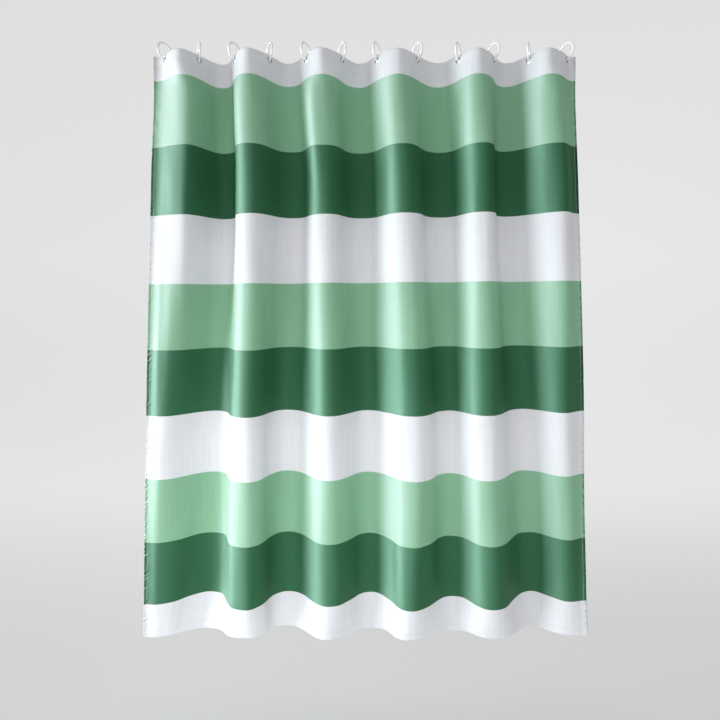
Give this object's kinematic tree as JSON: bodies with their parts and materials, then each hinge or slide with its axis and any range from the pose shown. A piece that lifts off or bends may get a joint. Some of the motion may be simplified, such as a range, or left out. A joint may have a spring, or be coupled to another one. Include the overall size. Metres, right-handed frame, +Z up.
{
  "type": "shower curtain",
  "caption": "Striped polyester shower curtain in even hand-hung folds, carried by white snap rings through metal eyelets; rings and eyelets slide as it is drawn and the cloth swings below them.",
  "frame": {"origin": "on the axis of the shower rod, in the middle of the width that the curtain hangs across", "axes": "+X along the rod, +Y towards the tub side (the back), +Z up; the front of the curtain faces -Y"},
  "size_m": [1.3494, 0.1009, 1.8411],
  "materials": {
    "striped_cloth": "satin woven polyester in white, light green and dark green stripes",
    "white_cloth": "satin woven polyester",
    "heading_tape": "matt interlining tape",
    "ring_plastic": "glossy moulded plastic",
    "eyelet_metal": "bright nickel plate",
    "washer_metal": "bright nickel plate"
  },
  "bodies": {
    "ring_01": {"ring_01": "ring_plastic"},
    "ring_02": {"ring_02": "ring_plastic"},
    "ring_03": {"ring_03": "ring_plastic"},
    "ring_04": {"ring_04": "ring_plastic"},
    "ring_05": {"ring_05": "ring_plastic"},
    "ring_06": {"ring_06": "ring_plastic"},
    "ring_07": {"ring_07": "ring_plastic"},
    "ring_08": {"ring_08": "ring_plastic"},
    "ring_09": {"ring_09": "ring_plastic"},
    "ring_10": {"ring_10": "ring_plastic"},
    "ring_11": {"ring_11": "ring_plastic"},
    "ring_12": {"ring_12": "ring_plastic"},
    "cloth": {"curtain_panel": "striped_cloth", "heading_tape": "heading_tape", "top_hem": "white_cloth", "bottom_hem": "white_cloth", "left_side_hem": "striped_cloth", "right_side_hem": "striped_cloth", "eyelet_01": "eyelet_metal", "eyelet_washer_01": "washer_metal"},
    "eyelet_02": {"eyelet_02": "eyelet_metal", "eyelet_washer_02": "washer_metal"},
    "eyelet_03": {"eyelet_03": "eyelet_metal", "eyelet_washer_03": "washer_metal"},
    "eyelet_04": {"eyelet_04": "eyelet_metal", "eyelet_washer_04": "washer_metal"},
    "eyelet_05": {"eyelet_05": "eyelet_metal", "eyelet_washer_05": "washer_metal"},
    "eyelet_06": {"eyelet_06": "eyelet_metal", "eyelet_washer_06": "washer_metal"},
    "eyelet_07": {"eyelet_07": "eyelet_metal", "eyelet_washer_07": "washer_metal"},
    "eyelet_08": {"eyelet_08": "eyelet_metal", "eyelet_washer_08": "washer_metal"},
    "eyelet_09": {"eyelet_09": "eyelet_metal", "eyelet_washer_09": "washer_metal"},
    "eyelet_10": {"eyelet_10": "eyelet_metal", "eyelet_washer_10": "washer_metal"},
    "eyelet_11": {"eyelet_11": "eyelet_metal", "eyelet_washer_11": "washer_metal"},
    "eyelet_12": {"eyelet_12": "eyelet_metal", "eyelet_washer_12": "washer_metal"}
  },
  "joints": [
    {"name": "draw", "type": "slide", "parent": "ring_01", "child": "ring_12", "axis": [-1, 0, 0], "range_m": [0, 0.8789], "deforming": ["curtain_panel", "heading_tape", "top_hem", "bottom_hem", "left_side_hem", "right_side_hem"]},
    {"name": "swing", "type": "hinge", "parent": "ring_01", "child": "cloth", "pos_m": [-0.62422, 0, -0.0348], "axis": [1, 0, 0], "range_deg": [-10, 10]},
    {"name": "ring_02_slide", "type": "slide", "parent": "ring_01", "child": "ring_02", "axis": [-1, 0, 0], "range_m": [0, 0.0748]},
    {"name": "ring_03_slide", "type": "slide", "parent": "ring_01", "child": "ring_03", "axis": [-1, 0, 0], "range_m": [0, 0.1527]},
    {"name": "ring_04_slide", "type": "slide", "parent": "ring_01", "child": "ring_04", "axis": [-1, 0, 0], "range_m": [0, 0.2293]},
    {"name": "ring_05_slide", "type": "slide", "parent": "ring_01", "child": "ring_05", "axis": [-1, 0, 0], "range_m": [0, 0.3087]},
    {"name": "ring_06_slide", "type": "slide", "parent": "ring_01", "child": "ring_06", "axis": [-1, 0, 0], "range_m": [0, 0.3882]},
    {"name": "ring_07_slide", "type": "slide", "parent": "ring_01", "child": "ring_07", "axis": [-1, 0, 0], "range_m": [0, 0.4636]},
    {"name": "ring_08_slide", "type": "slide", "parent": "ring_01", "child": "ring_08", "axis": [-1, 0, 0], "range_m": [0, 0.5527]},
    {"name": "ring_09_slide", "type": "slide", "parent": "ring_01", "child": "ring_09", "axis": [-1, 0, 0], "range_m": [0, 0.6416]},
    {"name": "ring_10_slide", "type": "slide", "parent": "ring_01", "child": "ring_10", "axis": [-1, 0, 0], "range_m": [0, 0.7191]},
    {"name": "ring_11_slide", "type": "slide", "parent": "ring_01", "child": "ring_11", "axis": [-1, 0, 0], "range_m": [0, 0.7962]},
    {"name": "eyelet_02_slide", "type": "slide", "parent": "cloth", "child": "eyelet_02", "axis": [-1, 0, 0], "range_m": [0, 0.0748]},
    {"name": "eyelet_03_slide", "type": "slide", "parent": "cloth", "child": "eyelet_03", "axis": [-1, 0, 0], "range_m": [0, 0.1527]},
    {"name": "eyelet_04_slide", "type": "slide", "parent": "cloth", "child": "eyelet_04", "axis": [-1, 0, 0], "range_m": [0, 0.2293]},
    {"name": "eyelet_05_slide", "type": "slide", "parent": "cloth", "child": "eyelet_05", "axis": [-1, 0, 0], "range_m": [0, 0.3087]},
    {"name": "eyelet_06_slide", "type": "slide", "parent": "cloth", "child": "eyelet_06", "axis": [-1, 0, 0], "range_m": [0, 0.3882]},
    {"name": "eyelet_07_slide", "type": "slide", "parent": "cloth", "child": "eyelet_07", "axis": [-1, 0, 0], "range_m": [0, 0.4636]},
    {"name": "eyelet_08_slide", "type": "slide", "parent": "cloth", "child": "eyelet_08", "axis": [-1, 0, 0], "range_m": [0, 0.5527]},
    {"name": "eyelet_09_slide", "type": "slide", "parent": "cloth", "child": "eyelet_09", "axis": [-1, 0, 0], "range_m": [0, 0.6416]},
    {"name": "eyelet_10_slide", "type": "slide", "parent": "cloth", "child": "eyelet_10", "axis": [-1, 0, 0], "range_m": [0, 0.7191]},
    {"name": "eyelet_11_slide", "type": "slide", "parent": "cloth", "child": "eyelet_11", "axis": [-1, 0, 0], "range_m": [0, 0.7962]},
    {"name": "eyelet_12_slide", "type": "slide", "parent": "cloth", "child": "eyelet_12", "axis": [-1, 0, 0], "range_m": [0, 0.879]}
  ],
  "couplings": [
    {"joint": "ring_02_slide", "follows": "draw", "ratio": 0.085041},
    {"joint": "ring_03_slide", "follows": "draw", "ratio": 0.17361},
    {"joint": "ring_04_slide", "follows": "draw", "ratio": 0.26075},
    {"joint": "ring_05_slide", "follows": "draw", "ratio": 0.35107},
    {"joint": "ring_06_slide", "follows": "draw", "ratio": 0.44161},
    {"joint": "ring_07_slide", "follows": "draw", "ratio": 0.52732},
    {"joint": "ring_08_slide", "follows": "draw", "ratio": 0.6287},
    {"joint": "ring_09_slide", "follows": "draw", "ratio": 0.72985},
    {"joint": "ring_10_slide", "follows": "draw", "ratio": 0.81802},
    {"joint": "ring_11_slide", "follows": "draw", "ratio": 0.90578},
    {"joint": "eyelet_02_slide", "follows": "draw", "ratio": 0.085041},
    {"joint": "eyelet_03_slide", "follows": "draw", "ratio": 0.17361},
    {"joint": "eyelet_04_slide", "follows": "draw", "ratio": 0.26075},
    {"joint": "eyelet_05_slide", "follows": "draw", "ratio": 0.35107},
    {"joint": "eyelet_06_slide", "follows": "draw", "ratio": 0.44161},
    {"joint": "eyelet_07_slide", "follows": "draw", "ratio": 0.52732},
    {"joint": "eyelet_08_slide", "follows": "draw", "ratio": 0.6287},
    {"joint": "eyelet_09_slide", "follows": "draw", "ratio": 0.72985},
    {"joint": "eyelet_10_slide", "follows": "draw", "ratio": 0.81802},
    {"joint": "eyelet_11_slide", "follows": "draw", "ratio": 0.90578},
    {"joint": "eyelet_12_slide", "follows": "draw", "ratio": 1}
  ]
}
